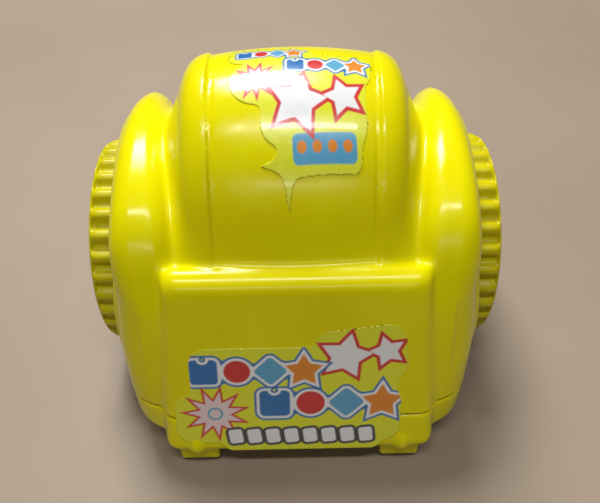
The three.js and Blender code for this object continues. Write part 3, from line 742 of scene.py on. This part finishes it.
def roof_outline(u, v):
    """Die-cut edge of the roof label, with a pointed tail at the rear."""
    top = tile(u, v, -3.2, 8.8, 5.6, 2.4, 1.4, -0.1)
    right = tile(u, v, 4.6, 5.6, 6.0, 2.8, 1.6, -0.05)
    centre = tile(u, v, 2.6, 0.2, 7.0, 5.6, 2.4)
    left = disc(u, v, -5.0, 3.0, 3.6)
    rear = tile(u, v, 3.4, -5.2, 5.4, 2.8, 1.2, 0.05)
    point = star(u, v, -0.8, -7.2, 3.6, 1.1, 4, math.pi / 2)
    return blob(top, right, centre, left, rear, point, k=1.2)


def roof_ink(u, v):
    soft = 0.12
    ink = np.broadcast_to(np.array(LABEL_BASE), u.shape + (3,)).copy()
    band = tile(u, v, 4.0, -5.6, 4.2, 1.5, 0.7, 0.05)
    ink = paint(ink, band, SKY, soft)
    ink = badge_row(ink, u, v, play_shapes(u, v, 4.4, 5.8, 2.5), soft, 0.3, 0.55)
    ink = badge_row(ink, u, v, play_shapes(u, v, -3.2, 9.2, 2.1), soft, 0.22, 0.42)
    ink = red_white(ink, twin_stars(u, v, 2.6, -0.4, 6.4), soft, 0.5)
    ink = burst(ink, u, v, -5.0, 3.2, 3.2, soft)
    dots = [disc(u, v, 1.0 + 2.0 * k, -5.6 + 0.1 * k, 0.62) for k in range(4)]
    return paint(ink, np.minimum.reduce(dots), ORANGE, soft)


def label_sheet(name, outline, ink_of, place, half, slot_body, node, step=0.11):
    """A thin die-cut sheet: a grid trimmed to the outline and laid on the surface."""
    (low_u, low_v), (high_u, high_v) = half
    us = np.arange(low_u, high_u + step, step)
    vs = np.arange(low_v, high_v + step, step)
    U, V = np.meshgrid(us, vs, indexing="ij")
    for _ in range(3):
        d = outline(U, V)
        du = (outline(U + 0.02, V) - outline(U - 0.02, V)) / 0.04
        dv = (outline(U, V + 0.02) - outline(U, V - 0.02)) / 0.04
        near = np.abs(d) < 0.75 * step
        U = np.where(near, U - d * du, U)
        V = np.where(near, V - d * dv, V)
    d = outline(U, V)
    keep = d < 0.02
    nu, nv = U.shape
    ids = np.arange(nu * nv).reshape(nu, nv)
    a, b, c, e = ids[:-1, :-1], ids[1:, :-1], ids[1:, 1:], ids[:-1, 1:]
    good = keep[:-1, :-1] & keep[1:, :-1] & keep[1:, 1:] & keep[:-1, 1:]
    quads = np.stack([a[good], b[good], c[good], e[good]], 1)
    used = np.unique(quads)
    renumber = np.full(nu * nv, -1)
    renumber[used] = np.arange(len(used))
    quads = renumber[quads]
    u, v = U.ravel()[used], V.ravel()[used]
    top, normal = place(u, v)
    piece = make_mesh(name, top, quads, normal)
    ink = ink_of(u, v)
    layer = piece.data.color_attributes.new("ink", "FLOAT_COLOR", "POINT")
    rgba = np.concatenate([ink, np.ones((len(ink), 1))], 1)
    layer.data.foreach_set("color", rgba.astype(np.float32).ravel())
    piece.data.materials.append(label_vinyl)
    thick = piece.modifiers.new("thickness", "SOLIDIFY")
    thick.thickness = 0.14 * MM
    thick.offset = -1
    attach(piece, slot_body)
    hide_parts(node)
    return piece


LABEL_LIFT = 0.1
ROOF_LABEL_Y = -7.5


def on_tail(u, v):
    """Label coordinates on the leaning tail panel: u to the right, v up the panel."""
    slope = math.hypot(1, TAIL_LEAN)
    along_y, along_z = TAIL_LEAN / slope, 1 / slope
    normal = np.array([0, -along_z, along_y])
    points = np.stack([u, -HALF_LENGTH + v * along_y, FLOOR + v * along_z], 1) + LABEL_LIFT * normal
    return points, np.broadcast_to(normal, points.shape).copy()


def on_roof(u, v):
    """Label coordinates on the roof: u to the right, v towards the nose."""
    x, y = u, ROOF_LABEL_Y + v
    low = np.full(u.shape, 20.0)
    high = np.full(u.shape, 60.0)
    for _ in range(36):
        middle = (low + high) / 2
        solid = body_form(x, y, middle) < 0
        low = np.where(solid, middle, low)
        high = np.where(solid, high, middle)
    points = np.stack([x, y, low], 1)
    normal = gradient(body_form, points)
    normal /= np.linalg.norm(normal, axis=1)[:, None]
    return points + LABEL_LIFT * normal, normal



def make_labels():
    tail_half = ((-18, 1), (18, 26))
    roof_half = ((-11, -12), (11, 12))
    label_sheet("tail_label_sheet", tail_outline, tail_ink, on_tail, tail_half, "car_body", "tail_label")
    label_sheet("roof_label_sheet", roof_outline, roof_ink, on_roof, roof_half, "car_body", "roof_label")


# ---------- floor, lights and camera ----------


def floor_material():
    n = Nodes("pale_floor")
    place = n.add("ShaderNodeTexCoord").outputs["Object"]
    cloud = n.noise(place, 14, 3)
    tone = n.ramp(cloud, [(0.3, (0.27, 0.205, 0.145)), (0.7, (0.30, 0.23, 0.165))])
    n.link(tone, n.shader.inputs["Base Color"])
    n.shader.inputs["Roughness"].default_value = 0.6
    return n.material


def make_floor():
    size = 1500
    steps = np.linspace(-size, size, 7)
    points = [(x, y, 0) for x in steps for y in steps]
    corners = [i * 7 + j for i in range(6) for j in range(6)]
    faces = [(k, k + 7, k + 8, k + 1) for k in corners]
    floor = make_mesh("studio_floor", points, faces)
    floor.data.materials.append(floor_material())


def area_light(name, place, aim, size, power, tall=None, colour=(1, 1, 1)):
    light = bpy.data.lights.new(name, "AREA")
    light.energy = power
    light.size = size
    light.color = colour
    if tall is not None:
        light.shape = "RECTANGLE"
        light.size_y = tall
    lamp = bpy.data.objects.new(name, light)
    bpy.context.scene.collection.objects.link(lamp)
    lamp.location = place
    lamp.rotation_mode = "QUATERNION"
    lamp.rotation_quaternion = (Vector(aim) - Vector(place)).to_track_quat("-Z", "Y")


def make_lights():
    world = bpy.data.worlds.new("studio")
    bpy.context.scene.world = world
    world.use_nodes = True
    sky = world.node_tree.nodes["Background"]
    sky.inputs["Color"].default_value = (0.86, 0.88, 0.9, 1)
    sky.inputs["Strength"].default_value = 0.07
    centre = (0, 0, 0.02)
    area_light("ceiling", (-0.10, 0.36, 0.66), centre, 0.26, 6.6)
    area_light("tube_over", (0.0, -0.23, 0.77), centre, 0.5, 2.6, 0.06)
    area_light("tube_behind", (0.0, -0.66, 0.48), centre, 0.5, 0.5, 0.035)


CAMERA_ROLL = -0.67


def make_camera():
    """The photograph's angle: 45 degrees down from behind, almost on the centre plane."""
    elevation = math.radians(45.03)
    yaw = math.radians(0.58)
    data = bpy.data.cameras.new("photo_camera")
    data.sensor_width = 36
    data.lens = 40.2
    data.clip_start = 0.001
    camera = bpy.data.objects.new("photo_camera", data)
    bpy.context.scene.collection.objects.link(camera)
    level_part = math.cos(elevation)
    forward = Vector((math.sin(yaw) * level_part, math.cos(yaw) * level_part, -math.sin(elevation)))
    camera.location = Vector((-0.11, -84.0, 97.8)) * MM
    camera.rotation_mode = "QUATERNION"
    level = forward.to_track_quat("-Z", "Y")
    camera.rotation_quaternion = level @ Quaternion((0, 0, 1), math.radians(CAMERA_ROLL))
    bpy.context.scene.camera = camera


bpy.context.scene.view_settings.view_transform = "Standard"
make_camera()
make_floor()
make_lights()
dress_cad_nodes()
make_body()
make_wheels()
make_labels()
